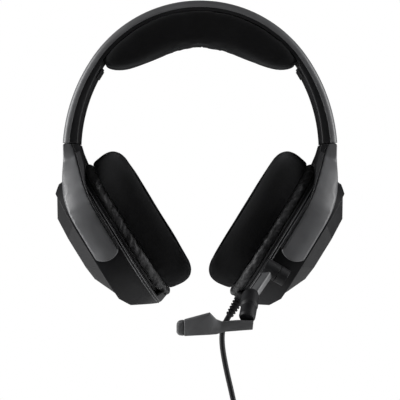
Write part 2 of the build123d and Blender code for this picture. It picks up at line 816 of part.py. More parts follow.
def cable_tube(name, route):
    radii = corner_radii(route)
    path = FilletPolyline(*route, radius=radii)
    start = Plane(origin=path @ 0, z_dir=path % 0)
    tube = sweep(start * Circle(CABLE_DIAMETER / 2), path=path)
    expected = pi * (CABLE_DIAMETER / 2) ** 2 * path.length
    print(name, "radii", [round(r, 1) for r in radii], "length", round(path.length, 1),
          "volume ratio", round(tube.volume / expected, 4))
    return tube


def make_cable_coil():
    """Outer shape of the tied coil."""
    x, y, z = COIL_CENTRE
    thick, deep = COIL_SECTION
    section = Pos(COIL_MID_RADIUS, 0) * RectangleRounded(thick, deep, 4.0)
    ring = revolve(Plane.XZ * section, Axis.Z, 360)
    return Pos(x, y, z) * Rot(90, 0, 0) * ring


def make_cable_tie(coil):
    """Strap round the bundle at the bottom of the coil."""
    x, y, z = COIL_CENTRE
    thick, deep = COIL_SECTION
    outer = RectangleRounded(deep + 2.4, thick + 2.4, 4.6)
    inner = RectangleRounded(deep + 0.02, thick + 0.02, 4.0)
    band = extrude(Plane.YZ * (outer - inner), amount=3.5, both=True)
    return Pos(x, y, z - COIL_MID_RADIUS) * band - coil


def make_plug_body():
    x, y, z = PLUG_TOP
    boot = rod((x, y, z), (x, y, z - 8.0), 2.6, 3.4)
    grip = Pos(x, y, z - 8.0 - 9.0) * Cylinder(PLUG_RADIUS, 18.0)
    grip = fillet(grip.edges(), 1.2)
    return boot + grip


def make_plug_pin():
    x, y, z = PLUG_TOP
    top = z - 26.0
    shaft = Pos(x, y, top - 6.0) * Cylinder(JACK_RADIUS, 12.0)
    neck = rod((x, y, top - 12.0), (x, y, top - 12.6), JACK_RADIUS, 1.2)
    tip = rod((x, y, top - 12.6), (x, y, top - 13.6), 1.2, 1.6)
    point = rod((x, y, top - 13.6), (x, y, top - 15.0), 1.6, 0.5)
    return shaft + neck + tip + point


# ---------------------------------------------------------------- assembly

def side_parts(side):
    """Nodes that both sides of the headset have."""
    has_controls = side == "left"
    blank = make_yoke_blank()
    cup = {
        "cup_shell": make_cup_shell(has_controls),
        "cup_cap": make_cup_cap(),
        "baffle": make_baffle(),
        "driver_basket": make_driver_basket(),
        "driver_magnet": make_driver_magnet(),
        "driver_cone": make_driver_cone(),
        "driver_scrim": make_driver_scrim(),
        "pad_ring": make_pad_ring(),
        "pad_skirt": make_pad_skirt(),
        "ear_pad": make_ear_pad(),
        "cup_screws": make_cup_screws(),
        "pivot_pins": make_pivot_pins(),
    }
    parts = {name: on_cup(shape) for name, shape in cup.items()}
    parts["yoke_outer"] = make_yoke_outer(blank)
    parts["yoke_inner"] = make_yoke_inner(blank)
    parts["slider_strip"] = make_slider_strip()
    return {side + "_" + name: to_side(shape, side) for name, shape in parts.items()}


def band_parts():
    return {
        "band_outer_shell": make_band_outer_shell(),
        "band_inner_shell": make_band_inner_shell(),
        "band_spring": make_band_spring(),
        "band_wire": make_band_wire(),
        "band_screws": make_band_screws(),
        "headband_pad": make_headband_pad(),
        "pad_clips": make_pad_clips(),
    }


def control_parts():
    return {
        "control_board": on_cup(make_control_board()),
        "volume_pot": on_cup(make_volume_pot()),
        "volume_wheel": on_cup(make_volume_wheel()),
        "mute_button": on_cup(make_mute_button()),
        "mic_socket": on_cup(make_mic_socket()),
        "strain_relief": make_strain_relief(),
    }


def boom_parts():
    hub = make_boom_hub()
    flex = make_boom_flex()
    return {
        "boom_hub": hub,
        "boom_arm": make_boom_arm(hub, flex),
        "boom_flex": flex,
        "mic_front": make_mic_front(flex),
        "mic_back": make_mic_back(flex),
        "mic_capsule": make_mic_capsule(),
        "mic_end_cap": make_mic_end_cap(),
    }


def cable_parts():
    coil = make_cable_coil()
    return {
        "cable_lead": cable_tube("cable_lead", lead_route()),
        "cable_coil": coil,
        "cable_tail": cable_tube("cable_tail", tail_route()),
        "cable_tie": make_cable_tie(coil),
        "plug_body": make_plug_body(),
        "plug_pin": make_plug_pin(),
    }


def main():
    os.makedirs("parts", exist_ok=True)
    nodes = {}
    nodes.update(band_parts())
    nodes.update(side_parts("left"))
    nodes.update(side_parts("right"))
    nodes.update(control_parts())
    nodes.update(boom_parts())
    nodes.update(cable_parts())
    for name, shape in nodes.items():
        export_step(shape, "parts/" + name + ".step")


main()
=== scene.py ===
import bpy
import bmesh
import json
import math
from mathutils import Matrix, Vector, noise


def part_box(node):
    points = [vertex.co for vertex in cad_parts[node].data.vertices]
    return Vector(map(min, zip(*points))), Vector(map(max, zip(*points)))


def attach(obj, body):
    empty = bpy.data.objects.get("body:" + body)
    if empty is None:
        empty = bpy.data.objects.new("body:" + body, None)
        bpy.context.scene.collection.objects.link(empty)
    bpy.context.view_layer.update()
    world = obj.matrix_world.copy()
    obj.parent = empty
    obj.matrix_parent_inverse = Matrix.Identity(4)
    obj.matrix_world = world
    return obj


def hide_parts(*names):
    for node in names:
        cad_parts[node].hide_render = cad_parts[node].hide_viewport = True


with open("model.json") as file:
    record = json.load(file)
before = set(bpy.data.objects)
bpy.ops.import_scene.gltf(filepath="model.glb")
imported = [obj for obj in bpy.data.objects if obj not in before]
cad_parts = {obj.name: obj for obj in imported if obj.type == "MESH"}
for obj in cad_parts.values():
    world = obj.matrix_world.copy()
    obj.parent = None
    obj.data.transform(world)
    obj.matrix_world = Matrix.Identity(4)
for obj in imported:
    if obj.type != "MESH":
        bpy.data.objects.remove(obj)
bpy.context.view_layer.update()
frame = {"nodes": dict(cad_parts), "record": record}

# Gaming headset: the looks. Metres, in the CAD's own frame: +X is the wearer's left, -Y the way the wearer faces.

# Camera: level, in front of the headset, aimed at the middle of the framed height.
FRAMED_HEIGHT = 0.272
AIM_Z = -0.1074
NEAR_PLANE_Y = -0.015
CAMERA_DISTANCE = 1.1
SENSOR = 36.0
FLOOR_Z = -0.450

EDGE_RADIUS = 0.0005

# Ear cup frame, as in the CAD: x outward, y as the headset's, z up along the cup.
CUP_PLACE = Matrix.Translation((0.06605, 0, -0.13725)) @ Matrix.Rotation(math.radians(31.7), 4, "Y")
SIDES = {"left": Matrix.Identity(4), "right": Matrix.Rotation(math.pi, 4, "Z")}

# Plan of the ear cushion: width, height and corner radius of its outer edge.
CUSHION_PLAN = (0.084, 0.1025, 0.041)
CUSHION_SHIFT = 0.0003
CUSHION_AROUND = 176
SIM_FRAMES = 20
CLOTH_STIFFNESS = 18.0
EAR_PRESSURE, EAR_CAP = 2.2, 0.0022
HEAD_PRESSURE, HEAD_CAP = 2.5, 0.0020
HEAD_VOXEL = 0.0026

# Cable.
CABLE_DIAMETER = 0.0038
COIL_CENTRE = Vector((0.0040, -0.0047, -0.2870))
COIL_MID_RADIUS = 0.0215
COIL_PITCH = 0.0039
COIL_STEPS = 24


# ---------------------------------------------------------------- camera, light and stage

def add_camera():
    data = bpy.data.cameras.new("photo_camera")
    data.sensor_width = SENSOR
    data.lens = SENSOR * CAMERA_DISTANCE / FRAMED_HEIGHT
    camera = bpy.data.objects.new("photo_camera", data)
    camera.location = (0, NEAR_PLANE_Y - CAMERA_DISTANCE, AIM_Z)
    camera.rotation_euler = (math.pi / 2, 0, 0)
    bpy.context.scene.collection.objects.link(camera)
    bpy.context.scene.camera = camera


def add_area_light(name, place, aim, size, power):
    data = bpy.data.lights.new(name, "AREA")
    data.shape = "RECTANGLE"
    data.size, data.size_y = size
    data.energy = power
    light = bpy.data.objects.new(name, data)
    light.location = place
    light.rotation_euler = (Vector(aim) - Vector(place)).to_track_quat("-Z", "Y").to_euler()
    bpy.context.scene.collection.objects.link(light)


def add_lights():
    middle = (0, 0, AIM_Z)
    add_area_light("left_softbox", (-1.1, -0.13, 0.10), middle, (0.45, 1.2), 22.0)
    add_area_light("right_softbox", (1.1, -0.13, 0.10), middle, (0.45, 1.2), 16.0)
    add_area_light("front_softbox", (-0.2, -1.6, 0.9), middle, (1.2, 0.4), 1.6)


def add_world():
    """White for the eye, dimmer as a light."""
    world = bpy.data.worlds.new("studio")
    bpy.context.scene.world = world
    world.use_nodes = True
    tree = world.node_tree
    background = tree.nodes["Background"]
    background.inputs["Color"].default_value = (1, 1, 1, 1)
    path = tree.nodes.new("ShaderNodeLightPath")
    strength = tree.nodes.new("ShaderNodeMapRange")
    strength.inputs["To Min"].default_value = 0.026
    strength.inputs["To Max"].default_value = 1.0
    tree.links.new(path.outputs["Is Camera Ray"], strength.inputs["Value"])
    tree.links.new(strength.outputs["Result"], background.inputs["Strength"])


def add_floor():
    """Pale round floor, below the framed view."""
    bpy.ops.mesh.primitive_circle_add(vertices=96, radius=1.05, fill_type="NGON", location=(0, 0, FLOOR_Z))
    floor = bpy.context.object
    floor.name = "floor"
    material = bpy.data.materials.new("floor_white")
    material.use_nodes = True
    shader = material.node_tree.nodes["Principled BSDF"]
    shader.inputs["Base Color"].default_value = (0.82, 0.82, 0.82, 1)
    shader.inputs["Roughness"].default_value = 0.6
    floor.data.materials.append(material)


# ---------------------------------------------------------------- material tools

class Surface:
    """A node material under construction."""

    def __init__(self, name, colour, roughness):
        self.material = bpy.data.materials.new(name)
        self.material.use_nodes = True
        self.tree = self.material.node_tree
        self.shader = self.tree.nodes["Principled BSDF"]
        self.shader.inputs["Base Color"].default_value = (*colour, 1)
        self.shader.inputs["Roughness"].default_value = roughness
        coords = self.tree.nodes.new("ShaderNodeTexCoord")
        self.place = coords.outputs["Object"]

    def node(self, kind, inputs=(), **settings):
        made = self.tree.nodes.new(kind)
        for key, value in settings.items():
            setattr(made, key, value)
        for key, value in dict(inputs).items():
            if isinstance(value, bpy.types.NodeSocket):
                self.tree.links.new(value, made.inputs[key])
            else:
                made.inputs[key].default_value = value
        return made

    def noise(self, scale, detail=2.0, vector=None, distortion=0.0):
        inputs = {"Vector": vector or self.place, "Scale": scale, "Detail": detail, "Distortion": distortion}
        return self.node("ShaderNodeTexNoise", inputs).outputs["Fac"]

    def stretched(self, vector, scale):
        made = self.node("ShaderNodeMapping", {"Vector": vector, "Scale": scale})
        return made.outputs["Vector"]

    def remap(self, value, low, high, to_low, to_high):
        inputs = {"Value": value, "From Min": low, "From Max": high, "To Min": to_low, "To Max": to_high}
        return self.node("ShaderNodeMapRange", inputs).outputs["Result"]

    def math(self, operation, first, second=0.0):
        made = self.node("ShaderNodeMath", operation=operation)
        for index, value in enumerate((first, second)):
            if isinstance(value, bpy.types.NodeSocket):
                self.tree.links.new(value, made.inputs[index])
            else:
                made.inputs[index].default_value = value
        return made.outputs["Value"]

    def blend(self, factor, dark, light):
        """Colour between two colours."""
        made = self.node("ShaderNodeMix", data_type="RGBA")
        self.tree.links.new(factor, made.inputs["Factor"])
        made.inputs["A"].default_value = (*dark, 1)
        made.inputs["B"].default_value = (*light, 1)
        return made.outputs["Result"]

    def colour(self, socket):
        self.tree.links.new(socket, self.shader.inputs["Base Color"])

    def roughness(self, socket):
        self.tree.links.new(socket, self.shader.inputs["Roughness"])

    def bump(self, height, distance, strength=1.0, after=None):
        inputs = {"Height": height, "Distance": distance, "Strength": strength}
        if after is not None:
            inputs["Normal"] = after
        made = self.node("ShaderNodeBump", inputs)
        self.tree.links.new(made.outputs["Normal"], self.shader.inputs["Normal"])
        return made.outputs["Normal"]

    def rounded_edges(self, radius):
        """Normal with every edge rounded over, for the first bump to start from."""
        return self.node("ShaderNodeBevel", {"Radius": radius}, samples=6).outputs["Normal"]

    def edge_wear(self):
        """0 on flat and hollow places, up to 1 along sharp edges."""
        point = self.node("ShaderNodeNewGeometry").outputs["Pointiness"]
        return self.remap(point, 0.52, 0.62, 0.0, 1.0)


def lighter(colour, share):
    return tuple(min(1.0, channel * share) for channel in colour)


def moulded_plastic(name, colour, roughness, grain=0.00003, gloss=0.5):
    """Moulded plastic with a fine spark-eroded grain, faint handling marks and paler worn edges."""
    made = Surface(name, colour, roughness)
    made.shader.inputs["IOR"].default_value = 1.48
    made.shader.inputs["Specular IOR Level"].default_value = gloss
    mottle = made.noise(90.0, 3.0)
    wear = made.edge_wear()
    shade = made.math("ADD", made.remap(mottle, 0.35, 0.65, 0.0, 0.35), made.math("MULTIPLY", wear, 0.55))
    made.colour(made.blend(shade, lighter(colour, 0.92), lighter(colour, 1.35)))
    smear = made.noise(28.0, 4.0, distortion=0.6)
    made.roughness(made.remap(smear, 0.3, 0.7, roughness - 0.05, roughness + 0.07))
    fine = made.noise(3600.0, 1.0)
    made.bump(fine, grain, 0.5, after=made.rounded_edges(EDGE_RADIUS))
    return made.material


def velour(name, colour, knit_scale):
    """Short-pile black cloth: soft fuzz, slight pile direction and a fine knitted grain."""
    made = Surface(name, colour, 0.92)
    made.shader.inputs["Sheen Weight"].default_value = 0.11
    made.shader.inputs["Sheen Roughness"].default_value = 0.45
    made.shader.inputs["Sheen Tint"].default_value = (0.75, 0.77, 0.8, 1)
    made.shader.inputs["Specular IOR Level"].default_value = 0.10
    pile = made.noise(34.0, 3.0, distortion=1.1)
    fibre = made.noise(2400.0, 2.0)
    shade = made.math("ADD", made.math("MULTIPLY", pile, 0.6), made.math("MULTIPLY", fibre, 0.5))
    made.colour(made.blend(made.remap(shade, 0.3, 0.8, 0.0, 1.0), lighter(colour, 0.6), lighter(colour, 1.6)))
    knit = made.node("ShaderNodeTexVoronoi", {"Vector": made.place, "Scale": knit_scale}).outputs["Distance"]
    first = made.bump(knit, 0.00016, 0.6)
    made.bump(fibre, 0.00012, 0.5, after=first)
    return made.material


def ruffled_cloth(name, colour):
    """Thin woven cloth of the gathered skirt."""
    made = Surface(name, colour, 0.5)
    made.shader.inputs["Sheen Weight"].default_value = 0.15
    made.shader.inputs["Specular IOR Level"].default_value = 0.35
    fold = made.noise(120.0, 3.0)
    made.colour(made.blend(made.remap(fold, 0.3, 0.7, 0.0, 1.0), lighter(colour, 0.7), lighter(colour, 1.4)))
    weave = made.node("ShaderNodeTexVoronoi", {"Vector": made.place, "Scale": 1900.0}).outputs["Distance"]
    first = made.bump(weave, 0.0001, 0.6)
    made.bump(fold, 0.0006, 0.5, after=first)
    return made.material


def soft_rubber(name, colour, roughness):
    """Matt rubber with dust in its pores."""
    made = Surface(name, colour, roughness)
    made.shader.inputs["Specular IOR Level"].default_value = 0.25
    dust = made.noise(260.0, 4.0)
    made.colour(made.blend(made.remap(dust, 0.45, 0.75, 0.0, 1.0), colour, lighter(colour, 1.5)))
    made.roughness(made.remap(dust, 0.3, 0.7, roughness - 0.06, roughness + 0.08))
    made.bump(made.noise(2600.0, 1.0), 0.00004, 0.5)
    return made.material


def brushed_metal(name, colour, roughness, direction):
    """Metal drawn along one direction."""
    made = Surface(name, colour, roughness)
    made.shader.inputs["Metallic"].default_value = 1.0
    lines = made.noise(900.0, 3.0, vector=made.stretched(made.place, direction))
    made.roughness(made.remap(lines, 0.3, 0.7, roughness - 0.08, roughness + 0.12))
    made.colour(made.blend(made.remap(lines, 0.3, 0.7, 0.0, 1.0), lighter(colour, 0.85), lighter(colour, 1.08)))
    made.bump(lines, 0.00002, 0.4)
    return made.material


def speaker_cloth(name, colour):
    """Open woven cloth over the driver."""
    made = Surface(name, colour, 0.85)
    holes = made.node("ShaderNodeTexVoronoi", {"Vector": made.place, "Scale": 900.0}).outputs["Distance"]
    made.colour(made.blend(made.remap(holes, 0.1, 0.6, 0.0, 1.0), lighter(colour, 0.35), lighter(colour, 1.6)))
    made.bump(holes, 0.0003, 0.8)
    return made.material


def circuit_board(name):
    """Green solder mask with copper tracks under it."""
    made = Surface(name, (0.01, 0.09, 0.04), 0.35)
    tracks = made.node("ShaderNodeTexBrick", {"Vector": made.place, "Scale": 160.0}).outputs["Fac"]
    made.colour(made.blend(tracks, (0.01, 0.08, 0.035), (0.03, 0.17, 0.06)))
    made.bump(tracks, 0.00004, 0.4)
    return made.material


def make_materials():
    return {
        "satin_grey": moulded_plastic("satin_grey", (0.098, 0.099, 0.103), 0.38),
        "dark_plastic": moulded_plastic("dark_plastic", (0.010, 0.010, 0.011), 0.42, gloss=0.28),
        "liner_black": moulded_plastic("liner_black", (0.008, 0.008, 0.009), 0.48, gloss=0.3),
        "boom_grey": moulded_plastic("boom_grey", (0.085, 0.086, 0.089), 0.40),
        "steel": brushed_metal("steel", (0.52, 0.53, 0.55), 0.30, (1.0, 1.0, 0.05)),
        "pad_cloth": velour("pad_cloth", (0.0042, 0.0042, 0.0045), 1500.0),
        "skirt_cloth": ruffled_cloth("skirt_cloth", (0.036, 0.036, 0.038)),
        "scrim_cloth": speaker_cloth("scrim_cloth", (0.02, 0.02, 0.021)),
        "driver_metal": brushed_metal("driver_metal", (0.45, 0.45, 0.47), 0.35, (1.0, 0.1, 1.0)),
        "driver_film": moulded_plastic("driver_film", (0.30, 0.28, 0.25), 0.25),
        "board": circuit_board("board"),
        "rubber_black": soft_rubber("rubber_black", (0.007, 0.007, 0.008), 0.55),
        "cable_jacket": soft_rubber("cable_jacket", (0.006, 0.006, 0.007), 0.5),
        "wire_jacket": soft_rubber("wire_jacket", (0.30, 0.03, 0.02), 0.45),
        "plug_metal": brushed_metal("plug_metal", (0.80, 0.76, 0.66), 0.18, (1.0, 1.0, 0.1)),
    }


def dress_cad_nodes(materials):
    """Give every carried-over CAD node its slot's material."""
    for row in frame["record"]["subparts"]:
        node = frame["nodes"][row["node"]]
        node.data.materials.clear()
        node.data.materials.append(materials[row["material_slot"]])


# ---------------------------------------------------------------- mesh tools

def new_object(name, mesh, material):
    piece = bpy.data.objects.new(name, mesh)
    bpy.context.scene.collection.objects.link(piece)
    piece.data.materials.clear()
    piece.data.materials.append(material)
    return piece


def smooth(piece, angle=None):
    mesh = piece.data
    mesh.polygons.foreach_set("use_smooth", [True] * len(mesh.polygons))
    if angle is not None:
        mesh.set_sharp_from_angle(angle=math.radians(angle))


def plan_point(turn, inset, plan):
    """Point of a rounded rectangle drawn in by inset, at a share of its length; also its outward direction."""
    width, height, radius = plan
    radius = max(radius - inset, 0.0005)
    flat_y = width / 2 - inset - radius
    flat_z = height / 2 - inset - radius
    arc = math.pi / 2 * (plan[2])
    sides = [2 * (height / 2 - plan[2]), 2 * (width / 2 - plan[2])]
    total = 4 * arc + 2 * sum(sides)
    walk = (turn % 1.0) * total
    corners = [(1, 1, 0.0), (-1, 1, 0.5), (-1, -1, 1.0), (1, -1, 1.5)]
    for index, (sy, sz, start) in enumerate(corners):
        if walk < arc:
            angle = math.pi * start + walk / plan[2]
            direction = (math.cos(angle), math.sin(angle))
            return (sy * flat_y + radius * direction[0], sz * flat_z + radius * direction[1]), direction
        walk -= arc
        side = sides[(index + 1) % 2]
        if walk < side:
            share = walk / side
            angle = math.pi * (start + 0.5)
            direction = (math.cos(angle), math.sin(angle))
            next_y, next_z = corners[(index + 1) % 4][:2]
            y = flat_y * (sy + (next_y - sy) * share) + radius * direction[0]
            z = flat_z * (sz + (next_z - sz) * share) + radius * direction[1]
            return (y, z), direction
        walk -= side
    return plan_point(0.0, inset, plan)


def ring_mesh(name, profile, plan, around, shift_z=0.0):
    """Ring swept round a rounded rectangle. The profile is a closed loop of (x, inset) points."""
    mesh = bpy.data.meshes.new(name)
    verts = []
    for step in range(around):
        for x, inset in profile:
            (y, z), _ = plan_point(step / around, inset, plan)
            verts.append((x, y, z + shift_z))
    count = len(profile)
    faces = []
    for step in range(around):
        for index in range(count):
            a = step * count + index
            b = step * count + (index + 1) % count
            c = ((step + 1) % around) * count + (index + 1) % count
            d = ((step + 1) % around) * count + index
            faces.append((a, b, c, d))
    mesh.from_pydata(verts, [], faces)
    mesh.update()
    return mesh


def closed_curve(points, count):
    """Evenly spaced points of a smooth closed line through a few points."""
    dense = []
    total = len(points)
    for index in range(total):
        p0, p1, p2, p3 = (Vector(points[(index + k - 1) % total]) for k in range(4))
        for step in range(12):
            t = step / 12
            dense.append(0.5 * ((2 * p1) + (p2 - p0) * t + (2 * p0 - 5 * p1 + 4 * p2 - p3) * t * t
                                + (3 * p1 - p0 - 3 * p2 + p3) * t ** 3))
    lengths = [0.0]
    for a, b in zip(dense, dense[1:] + dense[:1]):
        lengths.append(lengths[-1] + (b - a).length)
    found, at = [], 0
    for step in range(count):
        goal = lengths[-1] * step / count
        while lengths[at + 1] < goal:
            at += 1
        share = (goal - lengths[at]) / (lengths[at + 1] - lengths[at])
        found.append(tuple(dense[at].lerp(dense[(at + 1) % len(dense)], share)))
    return found


def fix_normals(mesh):
    work = bmesh.new()
    work.from_mesh(mesh)
    bmesh.ops.recalc_face_normals(work, faces=work.faces)
    work.to_mesh(mesh)
    work.free()


def place_on_side(name, mesh, side, material):
    """Copy of a mesh made in the cup's frame, on one side of the headset."""
    copy = mesh.copy()
    copy.transform(SIDES[side] @ CUP_PLACE)
    return new_object(name, copy, material)


# ---------------------------------------------------------------- cloth

def puff(mesh, pinned, pressure, cap):
    """Blow a closed mesh up a little as cloth, with some of its points held, and move its points to the new
    places, each step capped.
    """
    piece = new_object("puff_work", mesh.copy(), bpy.data.materials["pad_cloth"])
    group = piece.vertex_groups.new(name="held")
    for index, weight in pinned.items():
        group.add([index], weight, "REPLACE")
    cloth = piece.modifiers.new("cloth", "CLOTH")
    settings = cloth.settings
    settings.quality = 6
    settings.mass = 0.15
    settings.tension_stiffness = CLOTH_STIFFNESS
    settings.compression_stiffness = CLOTH_STIFFNESS
    settings.shear_stiffness = CLOTH_STIFFNESS / 2
    settings.bending_stiffness = 0.25
    settings.use_pressure = True
    settings.uniform_pressure_force = pressure
    settings.vertex_group_mass = "held"
    settings.effector_weights.gravity = 0.0
    cloth.collision_settings.use_collision = False
    cloth.point_cache.frame_start = 1
    cloth.point_cache.frame_end = SIM_FRAMES
    scene = bpy.context.scene
    for step in range(1, SIM_FRAMES + 1):
        scene.frame_set(step)
    graph = bpy.context.evaluated_depsgraph_get()
    moved = [v.co.copy() for v in piece.evaluated_get(graph).data.vertices]
    scene.frame_set(1)
    bpy.data.objects.remove(piece)
    for vertex, place in zip(mesh.vertices, moved):
        step = place - vertex.co
        if step.length > cap:
            step = step.normalized() * cap
        vertex.co = vertex.co + step
    mesh.update()


# ---------------------------------------------------------------- ear cushions and skirts

CUSHION_PROFILE = [(-0.0222, 0.0022), (-0.0240, 0.0008), (-0.0280, -0.0002), (-0.0330, -0.0006), (-0.0380, 0.0006),
                   (-0.0415, 0.0040), (-0.0432, 0.0085), (-0.0434, 0.0125), (-0.0420, 0.0165), (-0.0385, 0.0190),
                   (-0.0330, 0.0196), (-0.0270, 0.0192), (-0.0228, 0.0180), (-0.0220, 0.0140), (-0.0220, 0.0070)]


def cushion_mesh():
    profile = closed_curve([(x, inset) for x, inset in CUSHION_PROFILE], 52)
    mesh = ring_mesh("ear_cushion", profile, CUSHION_PLAN, CUSHION_AROUND, CUSHION_SHIFT)
    fix_normals(mesh)
    pinned = {v.index: 1.0 for v in mesh.vertices if v.co.x > -0.0242}
    puff(mesh, pinned, EAR_PRESSURE, EAR_CAP)
    add_puckers(mesh)
    return mesh


def around_turn(co):
    return math.atan2(co.z, co.y)


def add_puckers(mesh):
    """Small gathers where the cloth is sewn to the back, and slack in its faces."""
    normals = [v.normal.copy() for v in mesh.vertices]
    for vertex, normal in zip(mesh.vertices, normals):
        turn = around_turn(vertex.co)
        near_seam = math.exp(-((vertex.co.x + 0.0235) / 0.0035) ** 2)
        gather = noise.noise(Vector((turn * 14.0, vertex.co.x * 60.0, 3.1)))
        gather += 0.5 * noise.noise(Vector((turn * 34.0, vertex.co.x * 90.0, 7.7)))
        slack = noise.noise(vertex.co * 55.0)
        vertex.co += normal * (0.00055 * gather * near_seam + 0.00035 * slack)
    mesh.update()


def add_ear_cushions(materials):
    mesh = cushion_mesh()
    for side in SIDES:
        piece = place_on_side(side + "_cushion_cover", mesh, side, materials["pad_cloth"])
        smooth(piece)
        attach(piece, side + "_cup")
        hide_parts(side + "_ear_pad")


SKIRT_PLAN = (0.0835, 0.1046, 0.0405)
SKIRT_SHIFT = -0.0008
SKIRT_PROFILE = [(-0.0218, 0.0040), (-0.0214, 0.0018), (-0.0200, 0.0004), (-0.0182, 0.0002), (-0.0164, 0.0014),
                 (-0.0152, 0.0032), (-0.0152, 0.0060), (-0.0170, 0.0074), (-0.0195, 0.0070), (-0.0216, 0.0060)]


def skirt_mesh():
    """Gathered cloth band between the cushion and its ring."""
    profile = closed_curve(SKIRT_PROFILE, 28)
    mesh = ring_mesh("skirt", profile, SKIRT_PLAN, 420, SKIRT_SHIFT)
    fix_normals(mesh)
    normals = [v.normal.copy() for v in mesh.vertices]
    for vertex, normal in zip(mesh.vertices, normals):
        turn = around_turn(vertex.co)
        middle = math.exp(-((vertex.co.x + 0.0185) / 0.0030) ** 2)
        lean = turn * 22.0 + vertex.co.x * 500.0
        fold = noise.noise(Vector((lean, vertex.co.x * 140.0, 0.4)))
        fold += 0.7 * noise.noise(Vector((turn * 9.0, vertex.co.x * 260.0, 5.2)))
        crease = abs(noise.noise(Vector((lean * 1.7, vertex.co.x * 200.0, 9.3))))
        vertex.co += normal * middle * (0.0013 * fold - 0.0013 * crease)
    mesh.update()
    return mesh


def add_skirts(materials):
    mesh = skirt_mesh()
    for side in SIDES:
        piece = place_on_side(side + "_skirt_cloth", mesh, side, materials["skirt_cloth"])
        smooth(piece)
        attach(piece, side + "_cup")
        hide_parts(side + "_pad_skirt")


# ---------------------------------------------------------------- rim beads: painted highlight lines

RIM_PLAN = (0.088, 0.1074, 0.042)
RIM_SHIFT = -0.0007
# The beads lie where the rim's two edge highlights show; their pale grey on the rim is a painted highlight.
BEAD_PLACES = (-0.0106, -0.0122)
BEAD_RADIUS = 0.00032
BEAD_SIDES = 10
BEAD_SINK = 0.00012


def add_rim_highlight_beads(materials):
    """Two thin pale grey rings that run round the rim of each cup: painted highlight lines standing in for the
    rim's edge highlights.
    """
    for index, x in enumerate(BEAD_PLACES):
        profile = []
        for step in range(BEAD_SIDES):
            turn = 2 * math.pi * step / BEAD_SIDES
            profile.append((x + BEAD_RADIUS * math.cos(turn), BEAD_SINK + BEAD_RADIUS * math.sin(turn)))
        mesh = ring_mesh("rim_highlight_bead", profile, RIM_PLAN, 200, RIM_SHIFT)
        fix_normals(mesh)
        for side in SIDES:
            # Pale grey ring on the rim: a painted highlight line.
            piece = place_on_side(side + "_rim_highlight_bead_" + str(index), mesh, side, materials["satin_grey"])
            smooth(piece)
            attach(piece, side + "_cup")


# ---------------------------------------------------------------- yokes

YOKE_ROUND_ACROSS = 0.011
YOKE_ROUND_DEEP = 0.0036
YOKE_FADE_LOW, YOKE_FADE_HIGH = 0.046, 0.062
YOKE_VOXEL = 0.0008
YOKE_BAND = 0.002
YOKE_EVENING = 24
YOKE_RELAX = 9
YOKE_FACE_ROUNDS = 90


def remeshed(node, voxel, rounds):
    """Copy of a CAD node's mesh as an even skin, with its edges softened."""
    piece = new_object(node + "_skin", frame["nodes"][node].data.copy(), bpy.data.materials["satin_grey"])
    remesh = piece.modifiers.new("remesh", "REMESH")
    remesh.mode = "VOXEL"
    remesh.voxel_size = voxel
    relax = piece.modifiers.new("relax", "SMOOTH")
    relax.iterations = rounds
    graph = bpy.context.evaluated_depsgraph_get()
    mesh = bpy.data.meshes.new_from_object(piece.evaluated_get(graph))
    bpy.data.objects.remove(piece)
    return mesh


def outer_line(points):
    """How far out a set of cup-frame points reaches at each height band, evened out."""
    reach = {}
    for point in points:
        band = round(point.z / YOKE_BAND)
        reach[band] = max(reach.get(band, -1.0), point.x)
    for _ in range(YOKE_EVENING):
        reach = {band: (reach.get(band - 1, x) + 2 * x + reach.get(band + 1, x)) / 4 for band, x in reach.items()}
    return reach


def reach_at(reach, z):
    low = math.floor(z / YOKE_BAND)
    share = z / YOKE_BAND - low
    first = reach.get(low, reach.get(low + 1, 0.0))
    last = reach.get(low + 1, first)
    return first + (last - first) * share


def roll_over(local, outer):
    """Roll a point of the yoke's front or rear face over towards its outer face."""
    reach = min(1.0, (local.x - (outer - YOKE_ROUND_ACROSS)) / YOKE_ROUND_ACROSS)
    if reach <= 0:
        return
    drop = YOKE_ROUND_DEEP * (1 - math.sqrt(max(0.0, 1 - reach * reach * 0.9)))
    inner = min(0.0408, 0.006 + 0.6 * abs(local.y))
    share = min(1.0, max(0.0, (abs(local.y) - inner) / 0.0035))
    fade = min(1.0, max(0.0, (YOKE_FADE_HIGH - local.z) / (YOKE_FADE_HIGH - YOKE_FADE_LOW)))
    local.y -= math.copysign(drop * share * fade, local.y)


def even_out_faces(mesh, rounds):
    """Even out the front and rear faces of a yoke in the cup's frame, along y only."""
    work = bmesh.new()
    work.from_mesh(mesh)
    work.normal_update()
    free = [vertex for vertex in work.verts if abs(vertex.normal.y) > 0.72]
    for _ in range(rounds):
        bmesh.ops.smooth_vert(work, verts=free, factor=0.5, use_axis_x=False, use_axis_y=True, use_axis_z=False)
    work.to_mesh(mesh)
    work.free()


def add_yokes(materials):
    for side in SIDES:
        place = SIDES[side] @ CUP_PLACE
        mesh = remeshed(side + "_yoke_outer", YOKE_VOXEL, YOKE_RELAX)
        mesh.transform(place.inverted())
        reach = outer_line([vertex.co for vertex in mesh.vertices])
        for vertex in mesh.vertices:
            roll_over(vertex.co, reach_at(reach, vertex.co.z))
        even_out_faces(mesh, YOKE_FACE_ROUNDS)
        mesh.transform(place)
        mesh.update()
        piece = new_object(side + "_yoke_cover", mesh, materials["satin_grey"])
        smooth(piece)
        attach(piece, side + "_yoke")
        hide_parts(side + "_yoke_outer")


# ---------------------------------------------------------------- headband pad

